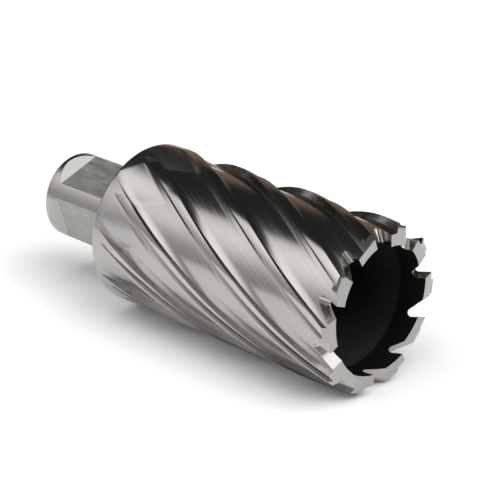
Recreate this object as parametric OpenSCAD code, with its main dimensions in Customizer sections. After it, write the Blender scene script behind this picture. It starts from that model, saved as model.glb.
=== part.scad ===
// Annular cutter: a hollow fluted hole cutter on a side-lock shank, ground from one bar of tool steel.
// It stands on its teeth: the foremost tips touch z = 0, the axis is Z and the shank points up.

/* [Cutter body] */
// Diameter over the lands
cutter_d = 35; // [34:0.25:37]
// Height of the rear shoulder above the tips
body_h = 64; // [61.5:0.5:76]
// Chamfer on the rear rim of the body
rim_chamfer = 0.5; // [0.2:0.1:1]

/* [Hollow core] */
// Diameter of the hollow core
core_d = 26.7; // [26:0.1:27.2]
// Depth of the hollow core above the tips
core_h = 54; // [46:1:57]

/* [Shank] */
// Shank diameter
shank_d = 19.05; // [17:0.05:20]
// Shank length behind the shoulder
shank_l = 23.8; // [21:0.1:31]
// Chamfer on the free end of the shank
shank_chamfer = 0.5; // [0.3:0.1:1.5]
// Depth of each side-lock flat below the shank surface
flat_depth = 1.7; // [0.8:0.1:2]
// Plain length of shank left behind the flats
flat_end = 3.8; // [2.5:0.1:7]
// Hole through the shank for the pilot pin
pilot_d = 6.5; // [5:0.1:8]

/* [Flutes] */
// Number of teeth and flutes, in pairs of two tooth kinds
teeth = 10; // [8:2:10]
// Helix angle at the outside of the lands
helix_angle = 30; // [26:0.5:34]
// Turn of the first cutting edge about the axis
tooth_turn = 13; // [0:1:36]
// Width of a land along the circumference
land_w = 3.1; // [2.7:0.1:3.6]
// Width of the full-diameter margin behind each cutting corner
margin_w = 0.9; // [0.6:0.1:1.4]
// Depth of the relief behind the margin
relief_depth = 0.4; // [0.2:0.05:0.5]
// Depth of the flute floor below the lands
flute_depth = 1.85; // [1.5:0.05:2.05]
// Fillet between the flute floor and the wall under the cutting corner
wall_fillet = 0.4; // [0.2:0.1:0.6]
// Width of the hollow heel between a land and the flute floor, along the circumference
heel_w = 2.1; // [1.6:0.1:2.6]
// Rise of the hollow heel, up to the foot of the step below the land
heel_rise = 0.35; // [0.2:0.05:0.5]
// Width of the steep step from the heel up to the land
step_w = 0.15; // [0.1:0.05:0.3]
// Distance from the rear shoulder to the crease where the run-out starts, at mid flute
runout_back = 11.4; // [10:0.1:13.5]
// Length over which the run-out rises to the full diameter
runout_l = 9.3; // [7:0.1:10]
// Slant of the crease across the flute floor, nearer the teeth at the cutting wall
runout_slant = 50; // [36:1:52]
// Slant of the line where the run-out reaches the full diameter
runout_end_slant = 32; // [24:1:36]

/* [Teeth] */
// Depth of a gullet at the bore, from the foremost tips
gullet_depth = 3.4; // [2.9:0.1:3.9]
// Root radius of a gullet
gullet_r = 0.85; // [0.65:0.05:0.95]
// Rise of a gullet towards the outside, so that chips move into the flute
gullet_tilt = 29; // [24:1:34]
// Lead of the inner cutting edge ahead of the flute wall
edge_lead = 1.6; // [1.3:0.1:1.9]
// Rake of the inner cutting edge
rake_angle = 20; // [16:1:22]
// Slope of the tooth back, from the end face into the gullet
back_slope = 36; // [34:1:40]
// Clearance of the end faces behind the cutting edge
clearance_angle = 6; // [5:0.5:8]
// Slope of the wide end face of a leading tooth, low at the bore
face_slope = 7; // [5:0.5:9]
// Width of the corner bevel of a leading tooth
corner_w = 0.9; // [0.7:0.05:1.2]
// Angle of the corner bevel of a leading tooth
corner_angle = 32; // [28:1:40]
// Setback of a following tooth behind the foremost tips
follow_setback = 0.45; // [0.3:0.05:0.75]
// Width of the outer bevel of a following tooth
bevel_w = 1.95; // [1.6:0.05:2.3]
// Angle of the outer bevel of a following tooth
bevel_angle = 24; // [20:1:28]
// Angle of the inner bevel of a following tooth
inner_angle = 4; // [2:0.5:8]

/* [Hidden] */
$fn = 96;
// Overlap that carries a cut past the surface it opens
over = 1;
cutter_r = cutter_d / 2;
core_r = core_d / 2;
shank_r = shank_d / 2;
total_h = body_h + shank_l;
lead = PI * cutter_d / tan(helix_angle);
pitch_a = 360 / teeth;
deg_per_mm = 180 / (PI * cutter_r);
land_a = land_w * deg_per_mm;
margin_a = margin_w * deg_per_mm;
floor_r = cutter_r - flute_depth;
relief_r = cutter_r - relief_depth;
// Outer boundary of a flute cut; the chords of its arc stay outside the lands
clear_r = cutter_r + over;
steel = [0.72, 0.72, 0.71];

// Flute section as [angle, radius]: wall under the cutting corner, floor, hollow heel and step,
// relieved top of the land ahead, then back along a clear arc
flute_a = pitch_a - land_a;
heel_a = heel_w * deg_per_mm;
step_a = step_w * deg_per_mm;
flute_section = [
  [0, clear_r],
  [0, floor_r + wall_fillet],
  [-wall_fillet * 180 / (PI * floor_r), floor_r],
  [-(flute_a - heel_a) / 2, floor_r],
  [-flute_a + heel_a, floor_r],
  [-flute_a + (heel_a + step_a) / 2, floor_r + heel_rise / 4],
  [-flute_a + step_a, floor_r + heel_rise],
  [-flute_a, relief_r],
  [-flute_a - (land_a - margin_a) / 2, relief_r],
  [-pitch_a + margin_a, relief_r],
  [-pitch_a + margin_a, clear_r],
  [-pitch_a * 3 / 4, clear_r],
  [-pitch_a / 2, clear_r],
  [-pitch_a / 4, clear_r]
];

// Rows of the flute cut as [height at mid flute, share of the slant, lift]: the straight part
// leans over to the slanted crease, then a flat run-out lifts the cut clear of the body
straight_rows = 20;
runout_rows = 4;
runout_z = body_h - runout_back;
runout_end = runout_l * (1 + over / flute_depth / 4);
slant_per_deg = floor_r * PI / 180 * tan(runout_slant);
// Share of the slant that is lost along the run-out
runout_fan = 1 - tan(runout_end_slant) / tan(runout_slant);
rows = concat(
  [for (i = [0 : straight_rows]) [-over + (runout_z + over) * i / straight_rows, i / straight_rows, 0]],
  [
    for (i = [1 : runout_rows])
      let (rise = runout_end * i / runout_rows)
        [runout_z + rise, 1 - runout_fan * rise / runout_l, flute_depth * rise / runout_l]
  ]
);

module flute_cut() {
  n = len(flute_section);
  m = len(rows);
  points = [
    for (row = rows)
      for (p = flute_section)
        let (
          z = row[0] - row[1] * slant_per_deg * (p[0] + flute_a / 2),
          a = p[0] + 360 * z / lead,
          r = p[1] + row[2]
        )
          [r * cos(a), r * sin(a), z]
  ];
  sides = [
    for (j = [0 : m - 2])
      for (i = [0 : n - 1])
        let (k = (i + 1) % n)
          each [
            [j * n + i, (j + 1) * n + i, (j + 1) * n + k],
            [j * n + i, (j + 1) * n + k, j * n + k]
          ]
  ];
  bottom = [for (i = [0 : n - 1]) i];
  last = (m - 1) * n;
  top = [
    for (i = [0 : n / 2 - 2])
      each [
        [last + i, last + n - 2 - i, last + i + 1],
        [last + i, last + n - 1 - i, last + n - 2 - i]
      ]
  ];
  polyhedron(points, concat(sides, [bottom], top));
}

// Gullet outline, seen along its own floor: round root, rake line and tooth back
root_v = gullet_depth * cos(gullet_tilt) - gullet_r;
root_u = root_v * tan(rake_angle) - gullet_r / cos(rake_angle) - edge_lead;
// Height, below the tips, to which a gullet cut is carried
gullet_low = -5;

module gullet_outline() {
  rake_u = root_u + gullet_r * cos(rake_angle);
  rake_v = root_v - gullet_r * sin(rake_angle);
  back_u = root_u - gullet_r * sin(back_slope);
  back_v = root_v + gullet_r * cos(back_slope);
  union() {
    translate([root_u, root_v])
      circle(r = gullet_r);
    polygon([
      [rake_u, rake_v],
      [back_u, back_v],
      [back_u - (back_v - gullet_low) / tan(back_slope), gullet_low],
      [rake_u - (rake_v - gullet_low) * tan(rake_angle), gullet_low]
    ]);
  }
}

module gullet_cut() {
  wall = cutter_r - core_r;
  translate([core_r, 0, 0])
    rotate([0, -gullet_tilt, 0])
      rotate([90, 0, 90])
        translate([0, 0, -wall])
          linear_extrude(height = wall + (wall + over) / cos(gullet_tilt))
            gullet_outline();
}

// One ground end face: everything below a plane through radius r and height z
// that rises outwards by slope and backwards by the clearance; its reach is given
// ahead of the inner cutting edge and behind it
face_ahead = 2;
face_behind = 6.5;

module end_face_cut(r, z, slope) {
  translate([r, -edge_lead, z])
    rotate([clearance_angle, -slope, 0])
      translate([-cutter_r / 2, -face_ahead, -cutter_r])
        cube([cutter_r, face_ahead + face_behind, cutter_r]);
}

module leading_tooth_cut() {
  corner_r = cutter_r - corner_w;
  end_face_cut(core_r, 0, face_slope);
  end_face_cut(corner_r, (corner_r - core_r) * tan(face_slope), corner_angle);
}

module following_tooth_cut() {
  ridge_r = cutter_r - bevel_w;
  end_face_cut(ridge_r, follow_setback, bevel_angle);
  end_face_cut(ridge_r, follow_setback, -inner_angle);
}

module blank() {
  rotate_extrude()
    polygon([
      [0, 0],
      [cutter_r, 0],
      [cutter_r, body_h - rim_chamfer],
      [cutter_r - rim_chamfer, body_h],
      [shank_r, body_h],
      [shank_r, total_h - shank_chamfer],
      [shank_r - shank_chamfer, total_h],
      [0, total_h]
    ]);
}

module flat_cut() {
  translate([-cutter_r, -shank_r - cutter_r, body_h])
    cube([cutter_d, cutter_r + flat_depth, shank_l - flat_end]);
}

module annular_cutter() {
  color(steel)
    difference() {
      difference() {
        blank();
        translate([0, 0, -over])
          cylinder(r = core_r, h = core_h + over);
        cylinder(d = pilot_d, h = total_h + over);
        flat_cut();
        rotate([0, 0, -90])
          flat_cut();
        for (i = [0 : teeth - 1])
          rotate([0, 0, tooth_turn + i * pitch_a]) {
            gullet_cut();
            if (i % 2 == 0)
              leading_tooth_cut();
            else
              following_tooth_cut();
          }
      }
      for (i = [0 : teeth - 1])
        rotate([0, 0, tooth_turn + i * pitch_a])
          flute_cut();
    }
}

annular_cutter();
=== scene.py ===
# %% [markdown]
# An annular cutter is a hollow hole cutter: a fluted tube of tool steel with teeth around its mouth,
# and a shank that a drill holds by two flats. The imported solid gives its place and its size.
# The lesson builds a finer skin of the same cutter over that solid and then gives it its finishes.

# %% Frame
import math

import bpy
import numpy as np
from mathutils import Matrix, Vector


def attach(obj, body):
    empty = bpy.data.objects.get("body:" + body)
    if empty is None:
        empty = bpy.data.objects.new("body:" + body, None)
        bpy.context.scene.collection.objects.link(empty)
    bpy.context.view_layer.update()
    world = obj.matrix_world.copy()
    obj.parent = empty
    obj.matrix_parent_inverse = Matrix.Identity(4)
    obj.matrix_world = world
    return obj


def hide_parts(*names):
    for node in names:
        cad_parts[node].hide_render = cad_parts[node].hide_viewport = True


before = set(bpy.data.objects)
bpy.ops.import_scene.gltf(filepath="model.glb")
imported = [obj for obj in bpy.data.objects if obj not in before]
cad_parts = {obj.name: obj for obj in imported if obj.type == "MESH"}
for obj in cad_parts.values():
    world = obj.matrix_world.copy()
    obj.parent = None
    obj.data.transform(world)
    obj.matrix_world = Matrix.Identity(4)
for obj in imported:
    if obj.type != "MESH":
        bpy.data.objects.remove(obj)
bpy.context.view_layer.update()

# %% [markdown]
# All sizes below are the tool's own, in millimetres. The cutter stands on its teeth in this frame:
# the foremost tips are at height 0, the axis is Z and the shank points up. A flute turns with the
# height, so its angle at any height follows from the lead, the height of one full turn.

# %% Sizes of the cutter
CUTTER_R, BODY_H, RIM_CHAMFER = 17.5, 64.0, 0.5
CORE_R, CORE_H, PILOT_R = 13.35, 54.0, 3.25
SHANK_R, SHANK_L, SHANK_CHAMFER = 9.525, 23.8, 0.5
TEETH, HELIX, TOOTH_TURN = 10, math.radians(30), 13.0
FLUTE_DEPTH = 1.85
FLOOR_R = CUTTER_R - FLUTE_DEPTH
TOTAL_H = BODY_H + SHANK_L
PITCH = 360.0 / TEETH
LEAD = math.pi * 2 * CUTTER_R / math.tan(HELIX)
DEG_PER_MM = 180 / (math.pi * CUTTER_R)
print(f"lead {LEAD:.1f} mm, so a flute turns {360 * BODY_H / LEAD:.0f} degrees along the body")

# %% [markdown]
# Every surface here is a grid of points with two directions, rows and columns. One function lists
# the four corners of all grid cells at once, and closes the grid onto itself where it is asked to.
# Others close the end of a carried outline, put points and cells into a mesh, and repeat a shape at
# all teeth. Work is in millimetres until the cuts are made, because numbers near one keep them exact.


# %% Grid helpers
def grid_cells(rows, cols, close_rows=False, close_cols=False):
    """Corner numbers of every cell of a rows by cols grid, counted row by row."""
    r = np.arange(rows if close_rows else rows - 1)[:, None]
    c = np.arange(cols if close_cols else cols - 1)[None, :]
    r2, c2 = (r + 1) % rows, (c + 1) % cols
    corners = np.broadcast_arrays(r * cols + c, r * cols + c2, r2 * cols + c2, r2 * cols + c)
    return np.stack(corners, -1).reshape(-1, 4)


def end_cells(cols):
    """Cells that close a ring of points, an even number, by pairing them from both ends to the middle."""
    c = np.arange(cols // 2 - 1)
    return np.stack([c, c + 1, cols - 2 - c, cols - 1 - c], -1)


def mesh_piece(name, points, cells, finish=0):
    """A mesh object from an array of points and one of cells, with one finish number for each cell."""
    mesh = bpy.data.meshes.new(name)
    mesh.from_pydata(points.reshape(-1, 3).tolist(), [], cells.tolist())
    mesh.polygons.foreach_set("material_index", np.broadcast_to(finish, len(cells)).astype(np.int32))
    mesh.update()
    piece = bpy.data.objects.new(name, mesh)
    bpy.context.scene.collection.objects.link(piece)
    return piece


def turned(points, degrees):
    """The points turned about the cutter's axis."""
    a = math.radians(degrees)
    turn = np.array([[math.cos(a), -math.sin(a), 0], [math.sin(a), math.cos(a), 0], [0, 0, 1]])
    return points @ turn.T


def tooth_ring(name, shapes, cells, finish):
    """One mesh of a cutting shape for each tooth, every shape turned to the place of its tooth."""
    points = np.stack([turned(shape, TOOTH_TURN + i * PITCH) for i, shape in enumerate(shapes)])
    all_cells = cells + points.shape[1] * np.arange(TEETH)[:, None, None]
    finish = np.tile(np.broadcast_to(finish, len(cells)), TEETH)
    return mesh_piece(name, points, all_cells.reshape(-1, 4), finish)


# %% [markdown]
# The finishes are numbered so that each cut can leave its own on the steel: the shank, the collar
# and the margins are ground round, the lands are ground bright, flutes and their run-outs are ground
# along the helix, gullets and end faces get their own wheels, the flats are milled, and the bore
# keeps the dark skin of the hardening furnace, with a step of light and shade painted into it.

# %% Finish numbers
FINISHES = (
    "ground round", "ground lands", "ground flutes", "ground run-outs", "ground gullets",
    "ground tooth ends", "milled flats", "milled climb-outs", "furnace black, painted light and shade")
ROUND, LAND_TOP, FLUTE_FLOOR, RUNOUT, GULLET, TOOTH_END, FLAT, CLIMB_OUT, BORE = range(len(FINISHES))
finishes = [bpy.data.materials.new("tool steel, " + name) for name in FINISHES]
print("finishes:", len(finishes))

# %% [markdown]
# The blank is what a lathe leaves: a stepped bar with a deep core and a pilot hole through the shank.
# A half outline carried round the axis gives all of it as one closed skin. Each corner of the
# outline is rounded, because no turned edge is perfectly sharp and the small arc catches the light.
# Long stretches are cut into rows, so that later cuts meet cells of a fair shape.

# %% Turned blank
ARC_POINTS, LONG_ROWS, LONG = 5, 16, 3.0
COLUMNS = 360


def rounded(outline, reach):
    """Each corner of a closed outline replaced by a curve that starts and ends at its reach from the corner.
    The curve is a parabola: its points are weighted means of its start, the corner and its end."""
    back, ahead = np.roll(outline, 1, 0) - outline, np.roll(outline, -1, 0) - outline
    start = outline + back / np.linalg.norm(back, axis=1, keepdims=True) * reach[:, None]
    end = outline + ahead / np.linalg.norm(ahead, axis=1, keepdims=True) * reach[:, None]
    t = np.linspace(0, 1, ARC_POINTS)[None, :, None]
    return (1 - t) ** 2 * start[:, None] + 2 * t * (1 - t) * outline[:, None] + t**2 * end[:, None]


# radius, height and reach of each corner, first outside from the mouth to the shank's end, then inside
outer_corners = [
    [CUTTER_R, 0, 0.01], [CUTTER_R, BODY_H - RIM_CHAMFER, 0.2],
    [CUTTER_R - RIM_CHAMFER, BODY_H, 0.2], [SHANK_R, BODY_H, 0.5],
    [SHANK_R, TOTAL_H - SHANK_CHAMFER, 0.2], [SHANK_R - SHANK_CHAMFER, TOTAL_H, 0.2],
    [PILOT_R, TOTAL_H, 0.25]]
inner_corners = [[PILOT_R, CORE_H, 0.2], [CORE_R, CORE_H, 0.6], [CORE_R, 0, 0.01]]
corners = np.array(outer_corners + inner_corners)
outline = rounded(corners[:, :2], corners[:, 2]).reshape(-1, 2)
following = np.roll(outline, -1, 0)
t = np.linspace(0, 1, LONG_ROWS, endpoint=False)[None, :, None]
rows_between = outline[:, None] * (1 - t) + following[:, None] * t
is_long = np.linalg.norm(following - outline, axis=1) > LONG
keep = is_long[:, None] | (np.arange(LONG_ROWS) == 0)
profile = rows_between[keep]
is_inside = np.repeat(np.arange(len(outline)) // ARC_POINTS >= len(outer_corners), keep.sum(1))
around = np.linspace(0, 2 * np.pi, COLUMNS, endpoint=False)
lathe = np.stack(np.broadcast_arrays(
    profile[:, :1] * np.cos(around), profile[:, :1] * np.sin(around), profile[:, 1:]), -1)
cells = grid_cells(len(profile), COLUMNS, close_rows=True, close_cols=True)
cutter = mesh_piece("cutter", lathe, cells, np.where(np.repeat(is_inside, COLUMNS), BORE, ROUND))
print("blank:", len(cutter.data.polygons), "cells from a profile of", len(profile), "points")

# %% [markdown]
# A flute is ground by a wheel that follows the helix. Its cross-section is a wall under the cutting
# corner, a floor that keeps the same distance from the axis, a hollow heel that climbs gently, and a
# steep step up to the land ahead. The land is ground lower than its margin, hollow close behind it.
# The section is carried up the helix row by row. Near the shank the wheel leaves the work on a
# slant: the rows lean over to a crease, and behind it the cut rises in a flat run-out.

# %% Flutes
LAND, MARGIN = 3.1 * DEG_PER_MM, 0.9 * DEG_PER_MM
FLUTE = PITCH - LAND
WALL_FILLET = 0.4
HEEL, HEEL_RISE, STEP = 2.1 * DEG_PER_MM, 0.35, 0.15 * DEG_PER_MM
RELIEF, HOLLOW, HOLLOW_W = 0.4, 0.2, 2.2 * DEG_PER_MM
RUNOUT_BACK, RUNOUT_L = 11.4, 9.3
CREASE_SLANT, END_SLANT = math.radians(50), math.radians(32)
CLEAR_R, BELOW_TIPS, PAST_RUNOUT = CUTTER_R + 1.0, -1.0, 1.15
LAND_FADE = 8.0
STRAIGHT_ROWS, RUNOUT_ROWS = 64, 11


def flute_section():
    """Closed outline of one flute cut as angle and radius, with the finish of each stretch.
    The wall fillet is a quarter circle; heel and hollow rise with the square of the way along them."""
    turn = np.linspace(0, np.pi / 2, 8)
    fillet_a = -(1 - np.cos(turn)) * WALL_FILLET * DEG_PER_MM * CUTTER_R / FLOOR_R
    fillet_r = FLOOR_R + WALL_FILLET * (1 - np.sin(turn))
    heel_foot = -FLUTE + HEEL
    floor_a = np.linspace(fillet_a[-1], heel_foot, 22)[1:-1]
    floor_r = np.full_like(floor_a, FLOOR_R)
    way = np.linspace(0, 1, 14)
    heel_a = heel_foot - (HEEL - STEP) * way
    heel_r = FLOOR_R + HEEL_RISE * way**2
    land_a = np.linspace(-FLUTE, -PITCH + MARGIN, 16)
    hollow = np.clip(1 - (land_a + PITCH - MARGIN) / HOLLOW_W, 0, 1)
    land_r = CUTTER_R - RELIEF - HOLLOW * hollow**2
    clear_a = np.linspace(-PITCH + MARGIN, 0, 28)
    clear_r = np.full_like(clear_a, CLEAR_R)
    angle = np.concatenate([fillet_a, floor_a, heel_a, land_a, clear_a])
    radius = np.concatenate([fillet_r, floor_r, heel_r, land_r, clear_r])
    is_land = (angle <= -FLUTE) & (radius < CUTTER_R)
    return angle, radius, np.where(is_land, LAND_TOP, FLUTE_FLOOR)


def flute_cut(angle, radius):
    """The section carried up the helix. Height is the row's height less its lean across the flute.
    A run-out row is lifted in step with its way, and the relief of the land fades out before the crease."""
    crease = BODY_H - RUNOUT_BACK
    rise = np.linspace(0, RUNOUT_L * PAST_RUNOUT, RUNOUT_ROWS + 1)[1:]
    fan = 1 - math.tan(END_SLANT) / math.tan(CREASE_SLANT)
    height = np.concatenate([np.linspace(BELOW_TIPS, crease, STRAIGHT_ROWS), crease + rise])
    lean = np.concatenate([np.linspace(0, 1, STRAIGHT_ROWS), 1 - fan * rise / RUNOUT_L])
    lift = np.concatenate([np.zeros(STRAIGHT_ROWS), FLUTE_DEPTH * rise / RUNOUT_L])
    slant = FLOOR_R * math.radians(1) * math.tan(CREASE_SLANT)
    z = height[:, None] - lean[:, None] * slant * (angle + FLUTE / 2)
    a = np.radians(angle + 360 * z / LEAD)
    relief = np.where(radius > FLOOR_R + HEEL_RISE + WALL_FILLET, RELIEF, 0)
    fade = np.clip((height[:, None] - crease + LAND_FADE) / LAND_FADE, 0, 1) * relief
    r = radius + np.maximum(lift[:, None], fade)
    return np.stack([r * np.cos(a), r * np.sin(a), z], -1)


angle, radius, stretch = flute_section()
one_flute = flute_cut(angle, radius)
rows, cols = one_flute.shape[:2]
ends = end_cells(cols)
cells = np.concatenate([grid_cells(rows, cols, close_cols=True), ends[:, ::-1], ends + (rows - 1) * cols])
is_straight = np.arange(rows - 1) < STRAIGHT_ROWS - 1
side_finish = np.where(is_straight[:, None], stretch, RUNOUT).ravel()
finish = np.concatenate([side_finish, np.full(2 * len(ends), RUNOUT)])
flutes = tooth_ring("flutes", [one_flute.reshape(-1, 3)] * TEETH, cells, finish)
print("flutes:", len(flutes.data.polygons), "cells,", cols, "around a section")

# %% [markdown]
# Between two teeth lies a gullet with a round root. It is a straight groove that a thin wheel grinds
# from the bore outwards, tilted so that chips climb into the flute. Its outline is a rake line, an
# arc and the back of the tooth ahead, carried along the tilted line.

# %% Gullets
GULLET_DEPTH, GULLET_R, GULLET_TILT = 3.4, 0.85, math.radians(29)
EDGE_LEAD, RAKE, BACK_SLOPE = 1.6, math.radians(20), math.radians(36)
GULLET_LOW, GULLET_FROM, GULLET_TO = -2.0, -4.0, 8.0


def gullet_cut():
    """Outline across the groove (u) and along its depth (v), carried from the bore to outside the lands."""
    root_v = GULLET_DEPTH * math.cos(GULLET_TILT) - GULLET_R
    root_u = root_v * math.tan(RAKE) - GULLET_R / math.cos(RAKE) - EDGE_LEAD
    turn = np.linspace(-RAKE, np.pi / 2 + BACK_SLOPE, 24)
    u = root_u + GULLET_R * np.cos(turn)
    v = root_v + GULLET_R * np.sin(turn)
    rake_u = u[0] - (v[0] - GULLET_LOW) * math.tan(RAKE)
    back_u = u[-1] - (v[-1] - GULLET_LOW) / math.tan(BACK_SLOPE)
    u = np.concatenate([[rake_u], u, [back_u]])
    v = np.concatenate([[GULLET_LOW], v, [GULLET_LOW]])
    way = np.array([[GULLET_FROM], [GULLET_TO]])
    c, s = math.cos(GULLET_TILT), math.sin(GULLET_TILT)
    return np.stack(np.broadcast_arrays(CORE_R + way * c - v * s, u, way * s + v * c), -1)


one_gullet = gullet_cut()
cols = one_gullet.shape[1]
ends = end_cells(cols)
cells = np.concatenate([grid_cells(2, cols, close_cols=True), ends[:, ::-1], ends + cols])
gullets = tooth_ring("gullets", [one_gullet.reshape(-1, 3)] * TEETH, cells, GULLET)
print("gullets:", len(gullets.data.polygons), "cells")

# %% [markdown]
# The end of every tooth is ground with two flat facets that meet in a ridge, so that leading and
# following teeth each take a part of the chip. A facet is a plane that rises outwards by its slope
# and backwards by the clearance. Each cut is a block whose top lies in that plane. It is a little
# narrower than one pitch, so that neighbouring blocks don't touch.

# %% Tooth ends
CLEARANCE = math.radians(6)
FACE_SLOPE, CORNER_W, CORNER_ANGLE = math.radians(7), 0.9, math.radians(32)
SETBACK, BEVEL_W, BEVEL_ANGLE, INNER_ANGLE = 0.45, 1.95, math.radians(24), math.radians(4)
BLOCK_IN, BLOCK_OUT, BLOCK_LOW = 11.8, 18.9, -6.0
BLOCK_FROM, BLOCK_TO = math.radians(-10.49), math.radians(25.49)
BLOCK = np.array([[3, 2, 1, 0], [4, 5, 6, 7], [0, 1, 5, 4], [1, 2, 6, 5], [2, 3, 7, 6], [3, 0, 4, 7]])


def facet_blocks(name, planes):
    """One block for each tooth under its plane, given as a radius, a height there and an outward slope."""
    r0, z0, slope = np.array(planes)[np.arange(TEETH) % 2].T[:, :, None]
    rho = np.array([BLOCK_IN, BLOCK_OUT, BLOCK_OUT, BLOCK_IN])
    phi = np.array([BLOCK_FROM, BLOCK_FROM, BLOCK_TO, BLOCK_TO])
    x, y = rho * np.cos(phi), rho * np.sin(phi)
    top = z0 + np.tan(slope) * (x - r0) + math.tan(CLEARANCE) / np.cos(slope) * (y + EDGE_LEAD)
    z = np.concatenate([np.full_like(top, BLOCK_LOW), top], 1)
    blocks = np.stack([np.tile(x, (TEETH, 2)), np.tile(y, (TEETH, 2)), z], -1)
    return tooth_ring(name, blocks, BLOCK, TOOTH_END)


corner_r, ridge_r = CUTTER_R - CORNER_W, CUTTER_R - BEVEL_W
corner_z = (corner_r - CORE_R) * math.tan(FACE_SLOPE)
wide = facet_blocks("wide_facets", [(CORE_R, 0.0, FACE_SLOPE), (ridge_r, SETBACK, -INNER_ANGLE)])
narrow = facet_blocks("narrow_facets", [(corner_r, corner_z, CORNER_ANGLE), (ridge_r, SETBACK, BEVEL_ANGLE)])
print("tooth ends:", len(wide.data.polygons) + len(narrow.data.polygons), "block faces")

# %% [markdown]
# Two flats are milled into the shank, a quarter turn apart, so that set screws can drive the cutter.
# Each stops short of the end, where the mill climbs out and leaves a sloped half-moon. The cut is a
# block again, with its upper side tilted by that climb.

# %% Shank flats
FLAT_DEPTH, FLAT_END, CLIMB = 1.7, 3.8, 2.3
FLAT_REACH, SHOULDER_GAP = 15.0, 0.02
floor_y = -SHANK_R + FLAT_DEPTH
low, high = BODY_H + SHOULDER_GAP, TOTAL_H - FLAT_END
climbed = high + (floor_y + FLAT_REACH) * CLIMB / FLAT_DEPTH
x = np.tile([-FLAT_REACH, FLAT_REACH, FLAT_REACH, -FLAT_REACH], 2)
y = np.tile([-FLAT_REACH, -FLAT_REACH, floor_y, floor_y], 2)
z = np.array([low, low, low, low, climbed, climbed, high, high])
flat_block = np.stack([x, y, z], -1)
flat_finish = [FLAT, CLIMB_OUT, FLAT, FLAT, FLAT, FLAT]
front_flat = mesh_piece("front_flat", flat_block, BLOCK, flat_finish)
side_flat = mesh_piece("side_flat", turned(flat_block, -90), BLOCK, flat_finish)
print("flats from", low, "to", high, "mm")

# %% [markdown]
# Now the cuts are made. A Boolean modifier takes one shape away from another and leaves a closed
# skin; the manifold solver keeps the fine grid of each cut, so the flutes stay smooth. The result
# is made permanent, turned into metres and shaded smooth, with every corner over 25 degrees kept sharp.

# %% Cutting
MM = 1000.0
SHARP = math.radians(25)
cuts = [front_flat, side_flat, gullets, wide, narrow, flutes]
for piece in [cutter, *cuts]:
    for material in finishes:
        piece.data.materials.append(material)
for cut in cuts:
    step = cutter.modifiers.new(cut.name, "BOOLEAN")
    step.operation, step.solver, step.object = "DIFFERENCE", "MANIFOLD", cut
skin = bpy.data.meshes.new_from_object(cutter.evaluated_get(bpy.context.evaluated_depsgraph_get()))
cutter.modifiers.clear()
cutter.data = skin
for cut in cuts:
    bpy.data.objects.remove(cut)
points = np.empty(len(skin.vertices) * 3, np.float32)
skin.vertices.foreach_get("co", points)
skin.vertices.foreach_set("co", points / MM)
skin.shade_smooth()
skin.set_sharp_from_angle(angle=SHARP)
skin.update()
face_finish = np.empty(len(skin.polygons), np.int32)
skin.polygons.foreach_get("material_index", face_finish)
print("cutter:", len(skin.polygons), "faces; of each finish:", np.bincount(face_finish).tolist())

# %% [markdown]
# The margins are narrow strips that the cuts left of the round blank, so their corners take their
# shading from very small faces and a bright finish would show that. Their true direction is known:
# it points straight away from the axis. The corners of these faces get it as custom normals.
# Then the finished skin takes the place of the solid and rides on its body.

# %% Round normals
ON_LAND, RIM_ROUNDING = 0.02, 0.21
face_corners = np.empty(len(skin.polygons), np.int32)
skin.polygons.foreach_get("loop_total", face_corners)
corner_point = np.empty(len(skin.loops), np.int32)
skin.loops.foreach_get("vertex_index", corner_point)
normals = np.empty(len(skin.loops) * 3, np.float32)
skin.corner_normals.foreach_get("vector", normals)
normals = normals.reshape(-1, 3)
x, y, z = points.reshape(-1, 3)[corner_point].T
from_axis = np.hypot(x, y)
is_margin = (abs(from_axis - CUTTER_R) < ON_LAND) & (z < BODY_H - RIM_CHAMFER - RIM_ROUNDING)
is_round = is_margin & (np.repeat(face_finish, face_corners) == ROUND)
normals[is_round] = np.stack([x / from_axis, y / from_axis, 0 * z], -1)[is_round]
skin.normals_split_custom_set(normals.tolist())
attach(cutter, "root")
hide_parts("annular_cutter")
print("corners with round normals:", int(is_round.sum()))

# %% [markdown]
# Colours are written the way a screen shows them and turned linear by one function, because the
# renderer counts light. Another small function adds a node with its settings and its links.


# %% Material helpers
def linear(hex_colour):
    """sRGB hex to linear: a straight foot, then the power 2.4."""
    c = np.array([int(hex_colour[i : i + 2], 16) for i in (1, 3, 5)]) / 255
    return (*np.where(c <= 0.04045, c / 12.92, ((c + 0.055) / 1.055) ** 2.4).tolist(), 1.0)


def node(tree, kind, inputs=None, **settings):
    """A new node with its settings. An input gets a plain value, or a link from an output;
    a node given as the input stands for its first output."""
    made = tree.nodes.new(kind)
    for name, value in settings.items():
        setattr(made, name, value)
    for name, value in (inputs or {}).items():
        if isinstance(value, bpy.types.Node):
            value = value.outputs[0]
        if isinstance(value, bpy.types.NodeSocket):
            tree.links.new(value, made.inputs[name])
        else:
            made.inputs[name].default_value = value
    return made


print("mid grey is", round(linear("#808080")[0], 3), "of white's light")

# %% [markdown]
# A wheel leaves fine lines along its path, and they spread the reflections across it. So every
# finish needs a place in the lines' own directions. Along a flute that is the distance across it,
# which is the angle less the turn of the helix, in parts of one pitch, and the height. Real lines
# are some 0.02 mm apart; here they are drawn about ten times coarser, because a pixel is 0.2 mm.

# %% Line directions
LINES_PER_MM, ALONG_PER_MM, FLUTE_JUMP = 4.0, 0.05, 7.3


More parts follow.
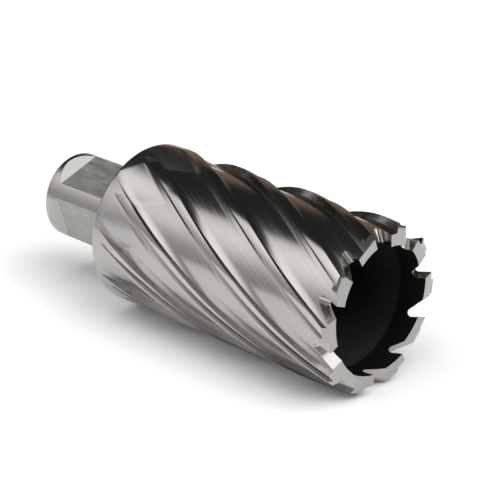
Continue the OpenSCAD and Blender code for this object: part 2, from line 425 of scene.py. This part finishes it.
def helix_lines(tree):
    """Coordinates that run fast across a flute and slowly along it, with a jump from flute to flute.
    Across is the angle less the helix's turn at that height, in pitches; the whole part is the flute."""
    place = node(tree, "ShaderNodeTexCoord").outputs["Object"]
    x, y, z = node(tree, "ShaderNodeSeparateXYZ", {0: place}).outputs
    turn = node(tree, "ShaderNodeMath", {0: y, 1: x}, operation="ARCTAN2")
    helix = node(tree, "ShaderNodeMath", {0: z, 1: 2 * math.pi / LEAD * MM}, operation="MULTIPLY")
    unwound = node(tree, "ShaderNodeMath", {0: turn, 1: helix}, operation="SUBTRACT")
    start = node(tree, "ShaderNodeMath", {0: unwound, 1: math.radians(TOOTH_TURN)}, operation="SUBTRACT")
    count = node(tree, "ShaderNodeMath", {0: start, 1: math.radians(PITCH)}, operation="DIVIDE")
    part = node(tree, "ShaderNodeMath", {0: count}, operation="FRACT")
    whole = node(tree, "ShaderNodeMath", {0: count}, operation="FLOOR")
    flute = node(tree, "ShaderNodeMath", {0: whole, 1: float(TEETH)}, operation="FLOORED_MODULO")
    pitch_lines = PITCH / DEG_PER_MM * LINES_PER_MM
    lines = node(tree, "ShaderNodeMath", {0: part, 1: pitch_lines}, operation="MULTIPLY")
    along = node(tree, "ShaderNodeMath", {0: z, 1: MM * ALONG_PER_MM}, operation="MULTIPLY")
    jump = node(tree, "ShaderNodeMath", {0: flute, 1: FLUTE_JUMP}, operation="MULTIPLY")
    return node(tree, "ShaderNodeCombineXYZ", {0: lines, 1: along, 2: jump})


def straight_lines(scale):
    """The same for lines along the object's own axes: the scale is in lines for each metre of an axis."""
    def coordinates(tree):
        place = node(tree, "ShaderNodeTexCoord").outputs["Object"]
        return node(tree, "ShaderNodeMapping", {"Vector": place, "Scale": scale})
    return coordinates


around_lines = straight_lines((60.0, 60.0, 9000.0))
cross_lines = straight_lines((2600.0, 2600.0, 2600.0))
mill_lines = straight_lines((1200.0, 1200.0, 300.0))
print("flute lines are", 1 / LINES_PER_MM, "mm apart")

# %% [markdown]
# Hardened tool steel is a slightly warm grey, and all its finishes share that metal. They differ in
# how rough the wheel left them and in the direction of the lines: lands are nearly mirrors, flutes
# are a little softer, run-outs and tooth ends are satin, and the milled flats scatter so much that they
# look grey from every side. Two tones, a roughness that follows the lines and a slight bump
# give each its grain.


# %% Steel finishes
def ground_steel(material, dark, light, rough, coordinates, bump, detail=4.0):
    """A metal whose tone, roughness and bump follow one line pattern; the bump's height is in mm."""
    material.use_nodes = True
    tree = material.node_tree
    shader = tree.nodes["Principled BSDF"]
    shader.inputs["Metallic"].default_value = 1.0
    noise = {"Vector": coordinates(tree), "Scale": 1.0, "Detail": detail}
    pattern = node(tree, "ShaderNodeTexNoise", noise)
    tones = {0: pattern, 6: linear(dark), 7: linear(light)}
    tone = node(tree, "ShaderNodeMix", tones, data_type="RGBA").outputs[2]
    soft = node(tree, "ShaderNodeMapRange", {0: pattern, 1: 0.3, 2: 0.7, 3: rough[0], 4: rough[1]})
    grain = node(tree, "ShaderNodeBump", {"Height": pattern, "Strength": 1.0, "Distance": bump / MM})
    tree.links.new(tone, shader.inputs["Base Color"])
    tree.links.new(soft.outputs[0], shader.inputs["Roughness"])
    tree.links.new(grain.outputs[0], shader.inputs["Normal"])


ground_steel(finishes[ROUND], "#A8A5A3", "#B1AEAC", (0.23, 0.27), around_lines, 0.0003)
ground_steel(finishes[LAND_TOP], "#AFACAA", "#BFBCBA", (0.10, 0.16), helix_lines, 0.002)
ground_steel(finishes[FLUTE_FLOOR], "#9C9997", "#BDBAB8", (0.16, 0.27), helix_lines, 0.0035)
ground_steel(finishes[RUNOUT], "#A4A2A0", "#B6B4B3", (0.26, 0.36), helix_lines, 0.004)
ground_steel(finishes[GULLET], "#A9A6A3", "#BCB9B6", (0.20, 0.28), cross_lines, 0.001)
ground_steel(finishes[TOOTH_END], "#9D9B99", "#B1AFAD", (0.24, 0.34), cross_lines, 0.001)
ground_steel(finishes[FLAT], "#898C86", "#CCCFC8", (0.58, 0.74), mill_lines, 0.003, detail=8.0)
ground_steel(finishes[CLIMB_OUT], "#ABA9A7", "#BDBBB9", (0.38, 0.46), cross_lines, 0.002)
print("steel finishes:", [m.name for m in finishes[:BORE]])

# %% [markdown]
# The bore is not ground after hardening. It keeps a nearly black oxide skin that gives off only a faint
# sheen.
# Over it a step of light and shade is painted into the colour: painted shade makes the first 6 mm behind the
# teeth blackest, and painted light makes the deeper part paler. The height above the tips tells the two
# apart, and specks of scale some 3 mm wide vary the deeper part.

# %% Black bore with painted light and shade
# Heights in metres that bound the painted step: painted shade below the first, painted light above the
# second.
PAINTED_SHADE_TO, PAINTED_LIGHT_FROM, SPECKS_PER_M = 0.0060, 0.0066, 300.0
finishes[BORE].use_nodes = True
tree = finishes[BORE].node_tree
place = node(tree, "ShaderNodeTexCoord").outputs["Object"]
depth = node(tree, "ShaderNodeSeparateXYZ", {0: place}).outputs[2]
# Painted light and shade: this mask is 0 up to 6 mm above the tips, where the colour is painted black as
# shade, and 1 deeper, where it is painted paler as light.
deep = node(tree, "ShaderNodeMapRange", {0: depth, 1: PAINTED_SHADE_TO, 2: PAINTED_LIGHT_FROM})
specks = node(tree, "ShaderNodeTexNoise", {"Vector": place, "Scale": SPECKS_PER_M, "Detail": 3.0})
# The specks are scale, and their tones sit at a paler level that is painted light.
scale_and_light_tones = {0: specks, 6: linear("#1E1E1E"), 7: linear("#303030")}
scale = node(tree, "ShaderNodeMix", scale_and_light_tones, data_type="RGBA").outputs[2]
# Black oxide near the teeth as painted shade, paler speckled scale deeper as painted light.
oxide_and_light_tones = {0: deep, 6: linear("#0A0A0A"), 7: scale}
oxide_and_painted_light = node(tree, "ShaderNodeMix", oxide_and_light_tones, data_type="RGBA").outputs[2]
shader = tree.nodes["Principled BSDF"]
shader.inputs["Roughness"].default_value = 0.5
shader.inputs["Specular IOR Level"].default_value = 0.35
tree.links.new(oxide_and_painted_light, shader.inputs["Base Color"])
print("bore:", finishes[BORE].name, "with", len(tree.nodes), "nodes")

# %% [markdown]
# The stage is a white board under the cutter, which lies on its side in the picture. In the
# frame of the solid that board is an upright plane that touches the lands. It fills the picture, so it
# is the white background too. Seen from behind it lets the view through and never hides the cutter.

# %% Table
TABLE_DOWN = np.array([-0.30176, 0.95338, 0.0])
STUDIO_RIGHT = np.array([0.64262, 0.20340, -0.73869])
STUDIO_AHEAD = np.array([0.70426, 0.22291, 0.67404])
TABLE_SIDE, TABLE_NEAR, TABLE_FAR = 0.6, -0.6, 0.31
to_right = np.array([[-TABLE_SIDE], [TABLE_SIDE], [TABLE_SIDE], [-TABLE_SIDE]])
to_front = np.array([[TABLE_NEAR], [TABLE_NEAR], [TABLE_FAR], [TABLE_FAR]])
table_points = TABLE_DOWN * CUTTER_R / MM + to_right * STUDIO_RIGHT + to_front * STUDIO_AHEAD
table = mesh_piece("table", table_points, np.arange(4)[None])

white = bpy.data.materials.new("white board, matt")
white.use_nodes = True
tree = white.node_tree
tree.nodes.clear()
matt = node(tree, "ShaderNodeBsdfDiffuse", {"Color": linear("#F8F8F8")})
clear = node(tree, "ShaderNodeBsdfTransparent")
behind = node(tree, "ShaderNodeNewGeometry").outputs["Backfacing"]
front = node(tree, "ShaderNodeMixShader", {0: behind, 1: matt, 2: clear})
node(tree, "ShaderNodeOutputMaterial", {"Surface": front})
table.data.materials.append(white)
print("table faces", [round(v, 2) for v in table.data.polygons[0].normal])

# %% [markdown]
# The camera looks down on the cutter from its mouth end, close enough for a strong perspective.
# Its place was found by fitting the tool's own circles and helix to the picture.

# %% Camera
EYE = np.array([-171.56, -203.63, -170.42]) / MM
CAMERA_UP = np.array([0.56829, -0.77319, 0.28148])
CAMERA_AHEAD = np.array([0.51390, 0.60067, 0.61246])
place = np.eye(4)
place[:3] = np.stack([STUDIO_RIGHT, CAMERA_UP, -CAMERA_AHEAD, EYE], -1)
lens = bpy.data.cameras.new("camera")
lens.lens, lens.sensor_width, lens.clip_start = 117.89, 36, 0.01
camera = bpy.data.objects.new("camera", lens)
bpy.context.scene.collection.objects.link(camera)
camera.matrix_world = Matrix(place.tolist())
bpy.context.scene.camera = camera
print("camera", round(float(np.linalg.norm(EYE)) * MM), "mm from the mouth")

# %% [markdown]
# Bright steel shows what stands around it more than its own colour. One large soft panel stands on
# the left, brighter towards its top and in its middle, and a smaller one hangs on the right. The rest
# of the room is dark, with a brown wall far ahead. The world draws them by direction, because on a
# tool this small a reflection shows where a light stands, and hardly how far away it is.

# %% Room light
world = bpy.data.worlds.new("room")
bpy.context.scene.world = world
world.use_nodes = True
tree = world.node_tree
tree.nodes.clear()
way = node(tree, "ShaderNodeTexCoord").outputs["Generated"]


def bearing(azimuth, elevation=0.0):
    """A direction in the studio: azimuth from straight ahead to the right, elevation above the table."""
    a, e = math.radians(azimuth), math.radians(elevation)
    level = math.sin(a) * STUDIO_RIGHT + math.cos(a) * STUDIO_AHEAD
    return math.cos(e) * level - math.sin(e) * TABLE_DOWN


def glow(direction, start, end, low=0.0, high=1.0):
    """A level that changes smoothly from low to high as the view turns towards a direction,
    while the cosine of the angle between them goes from start to end."""
    pair = {0: way, 1: direction.tolist()}
    cosine = node(tree, "ShaderNodeVectorMath", pair, operation="DOT_PRODUCT").outputs["Value"]
    levels = {0: cosine, 1: start, 2: end, 3: low, 4: high}
    return node(tree, "ShaderNodeMapRange", levels, interpolation_type="SMOOTHSTEP")


PANEL_FAR_EDGE, PANEL_NEAR_EDGE = -62, -158
PANEL_TINT, SOFTBOX = (1.0, 0.995, 0.99), (2.6, 2.6, 2.6, 1.0)
panel_parts = {0: glow(-TABLE_DOWN, 0.0, 0.95, 0.45, 1.45), 1: glow(bearing(-112, 45), 0.86, 0.97, 0.0, 0.5)}
panel_level = node(tree, "ShaderNodeMath", panel_parts, operation="ADD")
panel = node(tree, "ShaderNodeVectorMath", {0: PANEL_TINT, "Scale": panel_level}, operation="SCALE")
far_side = glow(bearing(PANEL_FAR_EDGE - 90), -0.06, 0.07)
near_side = glow(bearing(PANEL_NEAR_EDGE + 90), -0.15, 0.15)
on_panel = node(tree, "ShaderNodeMath", {0: far_side, 1: near_side}, operation="MULTIPLY")
ahead = glow(STUDIO_AHEAD + 0.06 * STUDIO_RIGHT, 0.88, 0.99)
wall = node(tree, "ShaderNodeMix", {0: ahead, 6: linear("#2B2E2D"), 7: linear("#8B7665")}, data_type="RGBA")
room = node(tree, "ShaderNodeMix", {0: on_panel, 6: wall.outputs[2], 7: panel}, data_type="RGBA")
right_box = glow(bearing(120, 50), 0.865, 0.91)
lit_room = node(tree, "ShaderNodeMix", {0: right_box, 6: room.outputs[2], 7: SOFTBOX}, data_type="RGBA")
background = node(tree, "ShaderNodeBackground", {"Color": lit_room.outputs[2]})
node(tree, "ShaderNodeOutputWorld", {"Surface": background})
print("room:", len(tree.nodes), "nodes")

# %% [markdown]
# A very wide soft lamp above brings the white board up to white and gives the cutter its soft
# contact shadow. It is kept out of the steel's reflections, where only the room shows.

# %% Soft lamp
lamp = bpy.data.lights.new("soft_sky", "SUN")
lamp.energy, lamp.angle = 1.45, math.radians(70)
sky = bpy.data.objects.new("soft_sky", lamp)
bpy.context.scene.collection.objects.link(sky)
down = TABLE_DOWN - 0.25 * STUDIO_RIGHT + 0.2 * STUDIO_AHEAD
sky.rotation_mode = "QUATERNION"
sky.rotation_quaternion = Vector(down.tolist()).to_track_quat("-Z", "Y")
sky.visible_glossy = False
bpy.context.scene.view_settings.view_transform = "Standard"
print("lamp shines along", [round(v, 2) for v in down])
